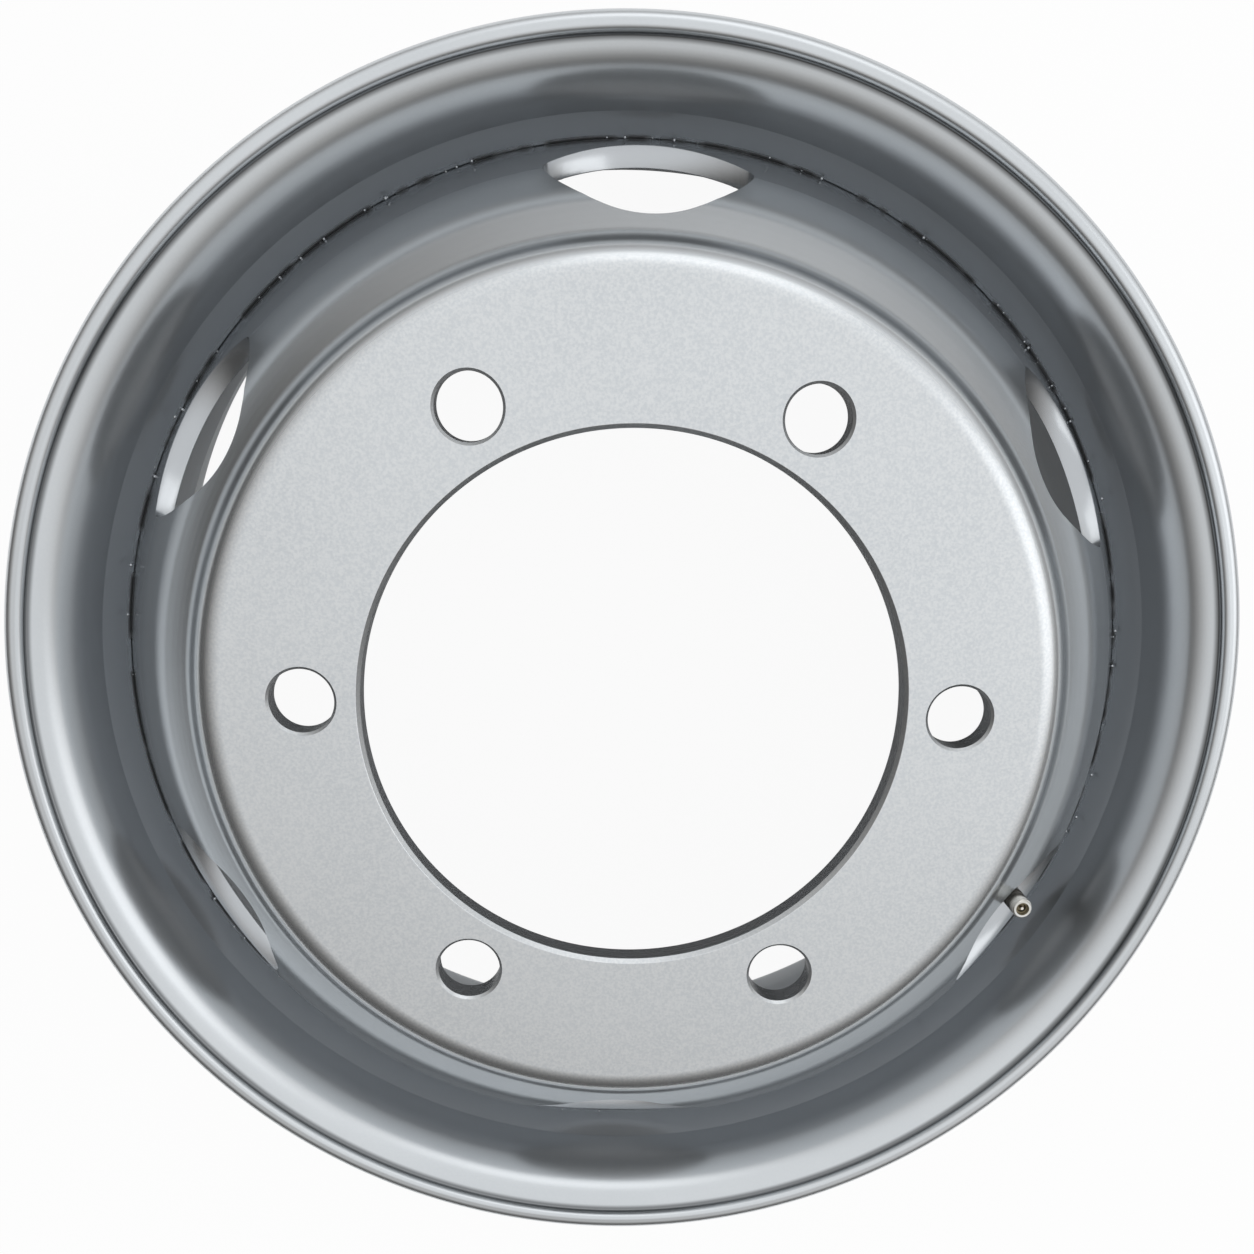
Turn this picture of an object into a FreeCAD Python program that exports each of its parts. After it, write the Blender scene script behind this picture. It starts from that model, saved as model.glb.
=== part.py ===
import FreeCAD, Part
import math
import os
import re

import Sketcher

# Steel disc wheel for a light truck: a rolled drop-centre rim, a spun disc pressed into its well and
# welded behind, and a bent clamp-in tyre valve that looks out through one of the vent holes.
# The wheel lies on its rear flange: the axle line is Z, the rear flange stands on Z = 0, and the
# convex side of the disc faces up. Lengths are in millimetres and angles in degrees.

SIZES = {
    # Rim: radii of its outer surfaces, widths along the axle line
    "flange_radius": 234.95,
    "bead_radius": 222.25,
    "rim_width": 171.45,
    "lip_width": 11.2,
    "lip_wall": 7.2,
    "rim_wall": 5.0,
    "seat_angle": 15,
    "front_seat": 24,
    "rear_seat": 33,
    "well_radius": 202,
    "well_front": 48,
    "well_rear": 116,
    "leg_shift": 2,
    "lip_round": 3.8,
    "lip_inner_round": 2.4,
    "flange_round": 6.5,
    "heel_round": 5,
    "curl_round": 2.5,
    "seat_back_round": 7.5,
    "toe_round": 9,
    "well_round": 9,
    # Disc: drops are measured down from its front face
    "face_proud": 15,
    "disc_wall": 12,
    "bore_radius": 101,
    "bore_chamfer": 1.6,
    "flat_radius": 159.5,
    "groove_radius": 165,
    "groove_drop": 10,
    "bend_radius": 191,
    "bend_drop": 36,
    "skirt_drop": 66,
    "skirt_length": 30,
    "skirt_wall": 6.5,
    "skirt_fit": 0.05,
    "back_setback": 9.4,
    "bend_inset": 4.3,
    "bend_sink": 7.1,
    "shoulder_round": 10,
    "groove_round": 10,
    "bend_round": 4,
    "skirt_round": 12,
    "back_round": 9,
    # Holes of the disc
    "bolt_count": 6,
    "bolt_circle": 122.5,
    "bolt_radius": 12,
    "bolt_chamfer": 1,
    "vent_count": 6,
    "vent_first": 90,
    "vent_inner_radius": 171.7,
    "vent_outer_radius": 196.8,
    "vent_inner_drop": 16.7,
    "vent_outer_drop": 52,
    "vent_half_width": 38,
    "vent_clear": 15,
    "vent_reach": 24,
    # Weld bead behind the skirt
    "weld_leg": 5.5,
    "weld_length": 6,
    "weld_crown": 1.2,
    "weld_round": 3,
    # Valve: its foot is in the well behind the disc, its stem turns forward through a vent hole
    "valve_angle": 333,
    "valve_depth": 101,
    "valve_circle": 180,
    "valve_proud": 2,
    "valve_hole_radius": 4.9,
    "stem_radius": 4.15,
    "tip_radius": 3.85,
    "tip_length": 12,
    "stem_bore": 1.6,
    "stem_bend": 12,
    "stem_chamfer": 0.4,
    "foot_radius": 7.2,
    "foot_thickness": 3,
    "foot_round": 1,
    "grommet_radius": 7.6,
    "grommet_thickness": 3,
    "grommet_sleeve": 4,
    "grommet_fit": 0.05,
    "washer_radius": 8,
    "washer_thickness": 1.6,
    "washer_lift": 0.2,
    "nut_flats": 13,
    "nut_height": 6,
    "nut_chamfer": 0.8,
    "thread_fit": 0.05,
    # Valve core: depths are measured down from the mouth of the stem
    "mouth_radius": 2.65,
    "mouth_depth": 20,
    "plug_radius": 2.55,
    "plug_top": 1.6,
    "plug_end": 8,
    "barrel_radius": 1.95,
    "barrel_end": 15,
    "pocket_radius": 1.75,
    "pocket_end": 9.5,
    "guide_radius": 0.8,
    "gasket_top": 9,
    "gasket_height": 2,
    "pin_radius": 0.6,
    "pin_top": 0.6,
    "collar_radius": 1.45,
    "collar_top": 2.4,
    "collar_height": 0.8,
    "cup_radius": 1.6,
    "cup_height": 1.6,
    "pin_head_radius": 1.3,
    "pin_head_height": 0.8,
    "spring_radius": 1.15,
    "spring_wire": 0.18,
    "spring_pitch": 1.1,
    "spring_gap": 0.05,
}

OVERALL = "(rim_width + 2 * lip_width)"
FACE = f"({OVERALL} + face_proud)"
SKIRT = "(well_radius - skirt_fit)"
SKIRT_END = f"({FACE} - skirt_drop - skirt_length)"
WELL_OUTER = "(well_radius + rim_wall)"
VALVE_LEVEL = f"({OVERALL} - valve_depth)"
STEM_TIP = f"({OVERALL} + valve_proud)"
FOOT_RADIUS_ON_WHEEL = f"({WELL_OUTER} + grommet_thickness + foot_thickness)"
RIM_BORE_FACE = "(foot_thickness + grommet_thickness + rim_wall)"

# Which point of a line or circle a sketch constraint takes
START, CENTRE = 1, 3

doc = FreeCAD.newDocument("truck_wheel")
sheet = doc.addObject("Spreadsheet::Sheet", "Sizes")
for row, (alias, size) in enumerate(SIZES.items(), start=1):
    sheet.set(f"A{row}", alias)
    sheet.set(f"B{row}", str(size))
    sheet.setAlias(f"B{row}", alias)
doc.recompute()


def value(text):
    """The number that an expression on the sheet's names has now."""
    return float(sheet.evalExpression(text))


def bound(text):
    """The same expression as another object of the document writes it."""
    return re.sub(r"[a-z_]+", lambda word: f"Sizes.{word[0]}" if word[0] in SIZES else word[0], text)


def new_body(label):
    body = doc.addObject("PartDesign::Body", label)
    body.Label = label
    return body


def origin_part(body, role):
    return next(part for part in body.Origin.OriginFeatures if part.Role == role)


def new_sketch(body, name, plane):
    sketch = body.newObject("Sketcher::SketchObject", name)
    sketch.AttachmentSupport = [(origin_part(body, plane), "")]
    sketch.MapMode = "FlatFace"
    return sketch


def place_point(sketch, item, across, up, point=START):
    """Ties a point of a line or circle to the sketch's origin by two expressions; "0" is on the axis."""
    for kind, axis, text in (("DistanceX", -2, across), ("DistanceY", -1, up)):
        if text == "0":
            sketch.addConstraint(Sketcher.Constraint("PointOnObject", item, point, axis))
            continue
        index = sketch.addConstraint(Sketcher.Constraint(kind, -1, 1, item, point, value(text)))
        sketch.setExpression(f"Constraints[{index}]", bound(text))


def outline(body, name, corners):
    """A closed outline in the body's XZ plane: each corner is a radius and a height, as expressions."""
    sketch = new_sketch(body, name, "XZ_Plane")
    points = [FreeCAD.Vector(value(across), value(up), 0) for across, up in corners]
    for start, end in zip(points, points[1:] + points[:1]):
        sketch.addGeometry(Part.LineSegment(start, end))
    for line in range(len(corners)):
        sketch.addConstraint(Sketcher.Constraint("Coincident", line, 2, (line + 1) % len(corners), 1))
    for line, (across, up) in enumerate(corners):
        place_point(sketch, line, across, up)
    return sketch


def turned(body, name, corners):
    """A solid of revolution about the body's Z axis."""
    sketch = outline(body, f"{name}_outline", corners)
    solid = body.newObject("PartDesign::Revolution", name)
    solid.Profile = sketch
    solid.ReferenceAxis = (sketch, ["V_Axis"])
    solid.Angle = 360
    doc.recompute()
    return solid


def ring_edges(shape, corners):
    """Names of the full circles about Z that pass through the given corners."""
    names = []
    for across, up in corners:
        radius, height = value(across), value(up)
        for number, edge in enumerate(shape.Edges, start=1):
            curve = edge.Curve
            if not isinstance(curve, Part.Circle) or math.hypot(curve.Center.x, curve.Center.y) > 1e-4:
                continue
            if abs(curve.Radius - radius) < 1e-4 and abs(curve.Center.z - height) < 1e-4:
                names.append(f"Edge{number}")
    return names


def dressed(body, kind, name, edges, size):
    """A fillet or chamfer on named edges of the body's last feature."""
    base = body.Tip
    dressing = body.newObject(f"PartDesign::{kind}", name)
    dressing.Base = (base, edges)
    dressing.setExpression("Radius" if kind == "Fillet" else "Size", bound(size))
    doc.recompute()
    return dressing


def rounded(body, name, size, corners):
    return dressed(body, "Fillet", name, ring_edges(body.Tip.Shape, corners), size)


def chamfered(body, name, size, corners):
    return dressed(body, "Chamfer", name, ring_edges(body.Tip.Shape, corners), size)


def round_sketch(body, name, plane, height, centre, *radii):
    """Circles about one centre, on a plane lifted off an origin plane of the body."""
    sketch = new_sketch(body, name, plane)
    sketch.setExpression("AttachmentOffset.Base.z", bound(height))
    middle = FreeCAD.Vector(value(centre[0]), value(centre[1]), 0)
    for circle, radius in enumerate(radii):
        sketch.addGeometry(Part.Circle(middle, FreeCAD.Vector(0, 0, 1), value(radius)))
        place_point(sketch, circle, *centre, point=CENTRE)
        index = sketch.addConstraint(Sketcher.Constraint("Radius", circle, value(radius)))
        sketch.setExpression(f"Constraints[{index}]", bound(radius))
    return sketch


def pocket(body, name, sketch, length=None):
    """A cut from the sketch against its normal, through everything unless a length is given."""
    before = body.Tip.Shape.Volume
    cut = body.newObject("PartDesign::Pocket", name)
    cut.Profile = sketch
    cut.Refine = False
    if length is None:
        cut.Type = "ThroughAll"
    else:
        cut.Type = "Length"
        cut.setExpression("Length", bound(length))
    doc.recompute()
    if body.Tip.Shape.Volume >= before:
        raise RuntimeError(f"{name} cuts nothing")
    return cut


def around(body, name, feature, count):
    """Repeats a feature evenly about the body's Z axis."""
    pattern = body.newObject("PartDesign::PolarPattern", name)
    pattern.Originals = [feature]
    pattern.Axis = (origin_part(body, "Z_Axis"), [""])
    pattern.Angle = 360
    pattern.Refine = False
    pattern.setExpression("Occurrences", bound(count))
    body.Tip = pattern
    doc.recompute()
    return pattern


def rim_side(seat, level):
    """Corners of one flange and bead seat, from the tyre side to the inner side.

    level turns a distance from that flange's own end plane into a height."""
    seat_inner = "bead_radius - rim_wall / cos(seat_angle)"
    tyre_side = [
        (f"bead_radius - {seat} * tan(seat_angle)", level(f"lip_width + {seat}")),
        ("bead_radius", level("lip_width")),
        ("flange_radius", level("lip_width")),
        ("flange_radius", level("0")),
    ]
    inner_side = [
        ("flange_radius - lip_wall", level("0")),
        ("flange_radius - lip_wall", level("lip_width - rim_wall")),
        (f"{seat_inner} + rim_wall * tan(seat_angle)", level("lip_width - rim_wall")),
        (f"{seat_inner} - ({seat} - leg_shift) * tan(seat_angle)", level(f"lip_width + {seat} - leg_shift")),
    ]
    return tyre_side, inner_side


def from_front(distance):
    return f"{OVERALL} - ({distance})"


def from_rear(distance):
    return distance


def build_rim():
    body = new_body("rim")
    front_out, front_in = rim_side("front_seat", from_front)
    rear_out, rear_in = rim_side("rear_seat", from_rear)
    well_out = [(WELL_OUTER, from_front("well_rear")), (WELL_OUTER, from_front("well_front"))]
    well_in = [
        ("well_radius", from_front("well_front - leg_shift")),
        ("well_radius", from_front("well_rear + leg_shift")),
    ]
    turned(body, "rim_section", well_out + front_out + front_in + well_in + rear_in[::-1] + rear_out[::-1])
    for name, size, index in (("heel_rounds", "heel_round", 1), ("flange_rounds", "flange_round", 2),
                              ("lip_rounds", "lip_round", 3), ("toe_rounds", "toe_round", 0)):
        rounded(body, name, size, [front_out[index], rear_out[index]])
    for name, size, index in (("lip_inner_rounds", "lip_inner_round", 0), ("curl_rounds", "curl_round", 1),
                              ("seat_back_rounds", "seat_back_round", 2), ("toe_back_rounds", "toe_round", 3)):
        rounded(body, name, size, [front_in[index], rear_in[index]])
    rounded(body, "well_rounds", "well_round", well_out + well_in)
    # The valve hole runs from the well straight out through the rim
    hole = round_sketch(body, "valve_hole_outline", "YZ_Plane", f"{WELL_OUTER} + valve_hole_radius",
                        ("0", VALVE_LEVEL), "valve_hole_radius")
    pocket(body, "valve_hole", hole, "rim_wall + 2 * valve_hole_radius")
    # The rim is turned so that its hole comes to the valve's place
    body.setExpression("Placement", "create(<<placement>>; create(<<vector>>; 0; 0; 0); "
                       + f"create(<<rotation>>; {bound('valve_angle')}; 0; 0))")
    return body


def vent_outline(body):
    """The oval of one vent hole, on a plane that leans outward and lies clear in front of the bend."""
    rise = "(vent_outer_drop - vent_inner_drop)"
    run = "(vent_outer_radius - vent_inner_radius)"
    length = f"sqrt({rise} * {rise} + {run} * {run})"
    lean = f"atan2({rise}; {run})"
    sketch = new_sketch(body, "vent_oval", "XY_Plane")
    middle_radius = "(vent_outer_radius + vent_inner_radius) / 2"
    middle_level = f"{FACE} - (vent_outer_drop + vent_inner_drop) / 2"
    out = f"({middle_radius} + vent_clear * sin({lean}))"
    up = f"({middle_level} + vent_clear * cos({lean}))"
    place = (f"create(<<placement>>; create(<<vector>>; {out} * cos(vent_first); {out} * sin(vent_first); {up}); "
             f"create(<<rotation>>; vent_first - 90; 0; -{lean}))")
    sketch.setExpression("AttachmentOffset", bound(place))
    half_width, half_height = value("vent_half_width"), value(f"{length} / 2")
    sketch.addGeometry(Part.Ellipse(FreeCAD.Vector(half_width, 0, 0), FreeCAD.Vector(0, half_height, 0),
                                    FreeCAD.Vector()))
    sketch.exposeInternalGeometry(0)
    sketch.addConstraint(Sketcher.Constraint("Coincident", 0, 3, -1, 1))
    sketch.addConstraint(Sketcher.Constraint("Horizontal", 1))
    for axis, text in ((1, "2 * vent_half_width"), (2, length)):
        index = sketch.addConstraint(Sketcher.Constraint("Distance", axis, value(text)))
        sketch.setExpression(f"Constraints[{index}]", bound(text))
    return sketch


def hole_edges(shape, radius, heights):
    """Names of the full circles of one radius, off the axle line, at the given heights."""
    names = []
    for number, edge in enumerate(shape.Edges, start=1):
        curve = edge.Curve
        if not isinstance(curve, Part.Circle) or math.hypot(curve.Center.x, curve.Center.y) < radius:
            continue
        on_face = any(abs(curve.Center.z - height) < 1e-4 for height in heights)
        if on_face and abs(curve.Radius - radius) < 1e-4:
            names.append(f"Edge{number}")
    return names


def build_disc():
    body = new_body("disc")
    back = f"{FACE} - disc_wall"
    bore_front = ("bore_radius", FACE)
    shoulder = ("flat_radius", FACE)
    groove = ("groove_radius", f"{FACE} - groove_drop")
    bend = ("bend_radius", f"{FACE} - bend_drop")
    skirt_top = (SKIRT, f"{FACE} - skirt_drop")
    skirt_foot = (SKIRT, SKIRT_END)
    skirt_foot_back = (f"{SKIRT} - skirt_wall", SKIRT_END)
    skirt_top_back = (f"{SKIRT} - skirt_wall", f"{FACE} - skirt_drop - 1")
    bend_back = ("bend_radius - bend_inset", f"{FACE} - bend_drop - bend_sink")
    flat_back = ("groove_radius - back_setback", back)
    bore_back = ("bore_radius", back)
    turned(body, "disc_section", [bore_front, shoulder, groove, bend, skirt_top, skirt_foot, skirt_foot_back,
                                  skirt_top_back, bend_back, flat_back, bore_back])
    rounded(body, "shoulder_rounding", "shoulder_round", [shoulder])
    rounded(body, "groove_rounding", "groove_round", [groove])
    rounded(body, "bend_rounding", "bend_round", [bend])
    rounded(body, "skirt_rounding", "skirt_round", [skirt_top])
    rounded(body, "back_rounding", "back_round", [skirt_top_back, bend_back, flat_back])
    bolt = round_sketch(body, "bolt_outline", "XY_Plane", FACE, ("bolt_circle", "0"), "bolt_radius")
    around(body, "bolt_holes", pocket(body, "bolt_hole", bolt), "bolt_count")
    faces = [value(FACE), value(back)]
    dressed(body, "Chamfer", "bolt_chamfers", hole_edges(body.Tip.Shape, value("bolt_radius"), faces),
            "bolt_chamfer")
    chamfered(body, "bore_chamfers", "bore_chamfer", [bore_front, bore_back])
    vent = pocket(body, "vent_hole", vent_outline(body), "vent_clear + vent_reach")
    around(body, "vent_holes", vent, "vent_count")
    return body


def build_weld():
    body = new_body("disc_weld")
    crown = (f"{SKIRT} - weld_leg / 2 - weld_crown", f"{SKIRT_END} - weld_length / 2 - weld_crown")
    turned(body, "weld_section", [(SKIRT, SKIRT_END), (f"{SKIRT} - weld_leg", SKIRT_END), crown,
                                  (SKIRT, f"{SKIRT_END} - weld_length")])
    rounded(body, "weld_rounding", "weld_round", [crown])
    return body


def place_on_foot(body):
    """Puts a body's own Z along the valve's foot, inward, and its own X towards the front of the wheel."""
    across = f"{FOOT_RADIUS_ON_WHEEL} * cos(valve_angle)"
    along = f"{FOOT_RADIUS_ON_WHEEL} * sin(valve_angle)"
    body.setExpression("Placement", bound(
        f"create(<<placement>>; create(<<vector>>; {across}; {along}; {VALVE_LEVEL}); "
        "create(<<rotation>>; valve_angle; -90; 0))"))


def place_in_stem(body):
    """Puts a body's own Z along the stem, from the bottom of the mouth towards its rim."""
    body.setExpression("Placement", bound(
        "create(<<placement>>; create(<<vector>>; valve_circle * cos(valve_angle); "
        f"valve_circle * sin(valve_angle); {STEM_TIP} - mouth_depth); "
        "create(<<rotation>>; valve_angle; 0; 0))"))


def stem_path(body):
    """The stem's centre line: out of the rim, round one bend and forward to the mouth."""
    height = f"({FOOT_RADIUS_ON_WHEEL} - valve_circle)"
    reach = f"({STEM_TIP} - {VALVE_LEVEL})"
    bend, top, end = value("stem_bend"), value(height), value(reach)
    sketch = new_sketch(body, "stem_path", "XZ_Plane")
    sketch.addGeometry(Part.LineSegment(FreeCAD.Vector(), FreeCAD.Vector(0, top - bend, 0)))
    round_bend = Part.Circle(FreeCAD.Vector(bend, top - bend, 0), FreeCAD.Vector(0, 0, 1), bend)
    sketch.addGeometry(Part.ArcOfCircle(round_bend, math.pi / 2, math.pi))
    sketch.addGeometry(Part.LineSegment(FreeCAD.Vector(bend, top, 0), FreeCAD.Vector(end, top, 0)))
    sketch.addConstraint(Sketcher.Constraint("Coincident", 0, 1, -1, 1))
    sketch.addConstraint(Sketcher.Constraint("Vertical", 0))
    sketch.addConstraint(Sketcher.Constraint("Tangent", 0, 2, 1, 2))
    sketch.addConstraint(Sketcher.Constraint("Tangent", 1, 1, 2, 1))
    sketch.addConstraint(Sketcher.Constraint("Horizontal", 2))
    for kind, ends, text in (("Radius", (1,), "stem_bend"), ("DistanceY", (-1, 1, 2, 1), height),
                             ("DistanceX", (-1, 1, 2, 2), reach)):
        index = sketch.addConstraint(Sketcher.Constraint(kind, *ends, value(text)))
        sketch.setExpression(f"Constraints[{index}]", bound(text))
    return sketch


def swept(body, kind, name, radius, path):
    section = round_sketch(body, f"{name}_section", "XY_Plane", "0", ("0", "0"), radius)
    pipe = body.newObject(f"PartDesign::{kind}", name)
    pipe.Profile = section
    pipe.Spine = (path, ["Edge1", "Edge2", "Edge3"])
    doc.recompute()
    return pipe


def build_valve_stem():
    body = new_body("valve_stem")
    rim_of_foot = ("foot_radius", "foot_thickness")
    turned(body, "foot", [("0", "0"), ("foot_radius", "0"), rim_of_foot, ("0", "foot_thickness")])
    rounded(body, "foot_rounding", "foot_round", [("foot_radius", "0")])
    path = stem_path(body)
    swept(body, "AdditivePipe", "stem", "stem_radius", path)
    swept(body, "SubtractivePipe", "stem_air_way", "stem_bore", path)
    reach = f"({STEM_TIP} - {VALVE_LEVEL})"
    centre = ("0", f"({FOOT_RADIUS_ON_WHEEL} - valve_circle)")
    mouth = round_sketch(body, "mouth_outline", "YZ_Plane", reach, centre, "mouth_radius")
    pocket(body, "mouth", mouth, "mouth_depth")
    ring = round_sketch(body, "tip_outline", "YZ_Plane", reach, centre, "tip_radius", "2 * stem_radius")
    pocket(body, "tip", ring, "tip_length")
    end = value(reach)
    rim_edges = [f"Edge{number}" for number, edge in enumerate(body.Tip.Shape.Edges, start=1)
                 if isinstance(edge.Curve, Part.Circle) and abs(edge.Curve.Center.x - end) < 1e-4
                 and abs(edge.Curve.Radius - value("tip_radius")) < 1e-4]
    dressed(body, "Chamfer", "tip_chamfer", rim_edges, "stem_chamfer")
    place_on_foot(body)
    return body


def build_valve_grommet():
    body = new_body("valve_grommet")
    under = "foot_thickness"
    seat = "foot_thickness + grommet_thickness"
    sleeve = "valve_hole_radius - grommet_fit"
    inner = "stem_radius + grommet_fit"
    turned(body, "grommet", [(inner, under), ("grommet_radius", under), ("grommet_radius", seat), (sleeve, seat),
                             (sleeve, f"{seat} + grommet_sleeve"), (inner, f"{seat} + grommet_sleeve")])
    place_on_foot(body)
    return body


def build_valve_washer():
    body = new_body("valve_washer")
    bottom = f"{RIM_BORE_FACE} + washer_lift"
    inner = "stem_radius + thread_fit"
    turned(body, "washer", [(inner, bottom), ("washer_radius", bottom),
                            ("washer_radius", f"{bottom} + washer_thickness"),
                            (inner, f"{bottom} + washer_thickness")])
    place_on_foot(body)
    return body


def build_valve_nut():
    body = new_body("valve_nut")
    bottom = f"{RIM_BORE_FACE} + washer_lift + washer_thickness"
    corner_radius = value("nut_flats / 2 / cos(30)")
    sketch = new_sketch(body, "nut_outline", "XY_Plane")
    sketch.setExpression("AttachmentOffset.Base.z", bound(bottom))
    corners = [FreeCAD.Vector(corner_radius * math.cos(math.radians(60 * side)),
                              corner_radius * math.sin(math.radians(60 * side)), 0) for side in range(6)]
    for start, end in zip(corners, corners[1:] + corners[:1]):
        sketch.addGeometry(Part.LineSegment(start, end))
    guide = sketch.addGeometry(Part.Circle(FreeCAD.Vector(), FreeCAD.Vector(0, 0, 1), corner_radius), True)
    for side in range(6):
        sketch.addConstraint(Sketcher.Constraint("Coincident", side, 2, (side + 1) % 6, 1))
        sketch.addConstraint(Sketcher.Constraint("PointOnObject", side, 1, guide))
        if side:
            sketch.addConstraint(Sketcher.Constraint("Equal", 0, side))
    sketch.addConstraint(Sketcher.Constraint("Coincident", guide, 3, -1, 1))
    sketch.addConstraint(Sketcher.Constraint("PointOnObject", 0, 1, -1))
    size = sketch.addConstraint(Sketcher.Constraint("Radius", guide, corner_radius))
    sketch.setExpression(f"Constraints[{size}]", bound("nut_flats / 2 / cos(30)"))
    nut = body.newObject("PartDesign::Pad", "nut")
    nut.Profile = sketch
    nut.setExpression("Length", bound("nut_height"))
    doc.recompute()
    top = value(f"{bottom} + nut_height")
    top_edges = [f"Edge{number}" for number, edge in enumerate(nut.Shape.Edges, start=1)
                 if all(abs(vertex.Point.z - top) < 1e-4 for vertex in edge.Vertexes)]
    dressed(body, "Chamfer", "nut_chamfer", top_edges, "nut_chamfer")
    bore = round_sketch(body, "nut_bore_outline", "XY_Plane", f"{bottom} + nut_height", ("0", "0"),
                        "stem_radius + thread_fit")
    pocket(body, "nut_bore", bore)
    place_on_foot(body)
    return body


def below_mouth(depth):
    """A height in the stem's own frame, from a depth below its mouth."""
    return f"mouth_depth - ({depth})"


def build_core_housing():
    body = new_body("core_housing")
    turned(body, "housing", [
        ("pocket_radius", below_mouth("plug_top")), ("plug_radius", below_mouth("plug_top")),
        ("plug_radius", below_mouth("plug_end")), ("barrel_radius", below_mouth("gasket_top")),
        ("barrel_radius", below_mouth("barrel_end")), ("guide_radius", below_mouth("barrel_end")),
        ("guide_radius", below_mouth("pocket_end")), ("pocket_radius", below_mouth("pocket_end"))])
    place_in_stem(body)
    return body


def build_core_gasket():
    body = new_body("core_gasket")
    top, bottom = below_mouth("gasket_top"), below_mouth("gasket_top + gasket_height")
    turned(body, "gasket", [("barrel_radius", top), ("mouth_radius", top), ("mouth_radius", bottom),
                            ("barrel_radius", bottom)])
    place_in_stem(body)
    return body


def build_core_pin():
    body = new_body("core_pin")
    head = below_mouth("barrel_end + cup_height")
    turned(body, "pin", [
        ("0", below_mouth("pin_top")), ("pin_radius", below_mouth("pin_top")),
        ("pin_radius", below_mouth("collar_top")), ("collar_radius", below_mouth("collar_top")),
        ("collar_radius", below_mouth("collar_top + collar_height")),
        ("pin_radius", below_mouth("collar_top + collar_height")), ("pin_radius", head),
        ("pin_head_radius", head), ("pin_head_radius", f"{head} - pin_head_height"),
        ("0", f"{head} - pin_head_height")])
    place_in_stem(body)
    return body


def build_core_cup():
    body = new_body("core_cup")
    top, bottom = below_mouth("barrel_end"), below_mouth("barrel_end + cup_height")
    turned(body, "cup", [("pin_radius", top), ("cup_radius", top), ("cup_radius", bottom), ("pin_radius", bottom)])
    place_in_stem(body)
    return body


def build_core_spring():
    """A coil of round wire between the pin's collar and the floor of the housing's pocket."""
    low = below_mouth("pocket_end - spring_wire - spring_gap")
    high = below_mouth("collar_top + collar_height + spring_wire + spring_gap")
    helix = doc.addObject("Part::Helix", "spring_line")
    for name, text in (("Radius", "spring_radius"), ("Pitch", "spring_pitch"), ("Height", f"{high} - ({low})"),
                       ("Placement.Base.z", low)):
        helix.setExpression(name, bound(text))
    wire = doc.addObject("Part::Circle", "spring_section")
    wire.setExpression("Radius", bound("spring_wire"))
    wire.Placement.Rotation = FreeCAD.Rotation(FreeCAD.Vector(1, 0, 0), 90)
    wire.setExpression("Placement.Base.x", bound("spring_radius"))
    wire.setExpression("Placement.Base.z", bound(low))
    coil = doc.addObject("Part::Sweep", "core_spring")
    coil.Sections = [wire]
    coil.Spine = (helix, [])
    coil.Solid = True
    coil.Frenet = True
    coil.Label = "core_spring"
    place_in_stem(coil)
    doc.recompute()
    return coil


pieces = [
    build_rim(),
    build_disc(),
    build_weld(),
    build_valve_stem(),
    build_valve_grommet(),
    build_valve_washer(),
    build_valve_nut(),
    build_core_housing(),
    build_core_gasket(),
    build_core_pin(),
    build_core_cup(),
    build_core_spring(),
]
doc.recompute()

failed = [item.Name for item in doc.Objects if {"Invalid", "Error"} & set(item.State)]
for piece in pieces:
    if piece.Shape.isNull() or not piece.Shape.isValid() or len(piece.Shape.Solids) != 1:
        failed.append(piece.Label)
if failed:
    raise RuntimeError(f"these did not build: {', '.join(failed)}")

os.makedirs("parts", exist_ok=True)
for piece in pieces:
    piece.Shape.exportStep(f"parts/{piece.Label}.step")
    box = piece.Shape.BoundBox
    print(f"{piece.Label}: {piece.Shape.Volume:.1f} mm3, Z {box.ZMin:.2f} to {box.ZMax:.2f}")
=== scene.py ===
"""The looks of a steel truck wheel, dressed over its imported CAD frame.

The wheel lies on its rear flange, with the axle line on +Z and the convex side of the disc up.
The wheel's sizes and the camera's place are in millimetres and turned into metres with MM.
The places where the paint changes, the floor and the lamps are in metres.
"""
import math

import bmesh
import bpy
import numpy as np
from mathutils import Euler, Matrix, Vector


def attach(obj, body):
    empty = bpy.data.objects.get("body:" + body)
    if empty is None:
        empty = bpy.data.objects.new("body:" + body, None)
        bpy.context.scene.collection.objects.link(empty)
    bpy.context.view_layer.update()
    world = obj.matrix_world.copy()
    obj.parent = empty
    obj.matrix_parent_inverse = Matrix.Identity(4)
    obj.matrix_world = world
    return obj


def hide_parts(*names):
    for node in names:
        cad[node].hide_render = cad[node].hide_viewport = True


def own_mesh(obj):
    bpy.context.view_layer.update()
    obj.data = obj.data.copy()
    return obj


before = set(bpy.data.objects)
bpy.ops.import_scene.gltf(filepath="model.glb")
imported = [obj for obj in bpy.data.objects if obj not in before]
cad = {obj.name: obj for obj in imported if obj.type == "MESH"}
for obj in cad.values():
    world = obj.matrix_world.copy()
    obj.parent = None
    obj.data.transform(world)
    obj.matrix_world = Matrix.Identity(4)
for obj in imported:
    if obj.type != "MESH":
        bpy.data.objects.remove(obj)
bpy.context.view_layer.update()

MM = 0.001
FULL_TURN = math.tau

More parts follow.
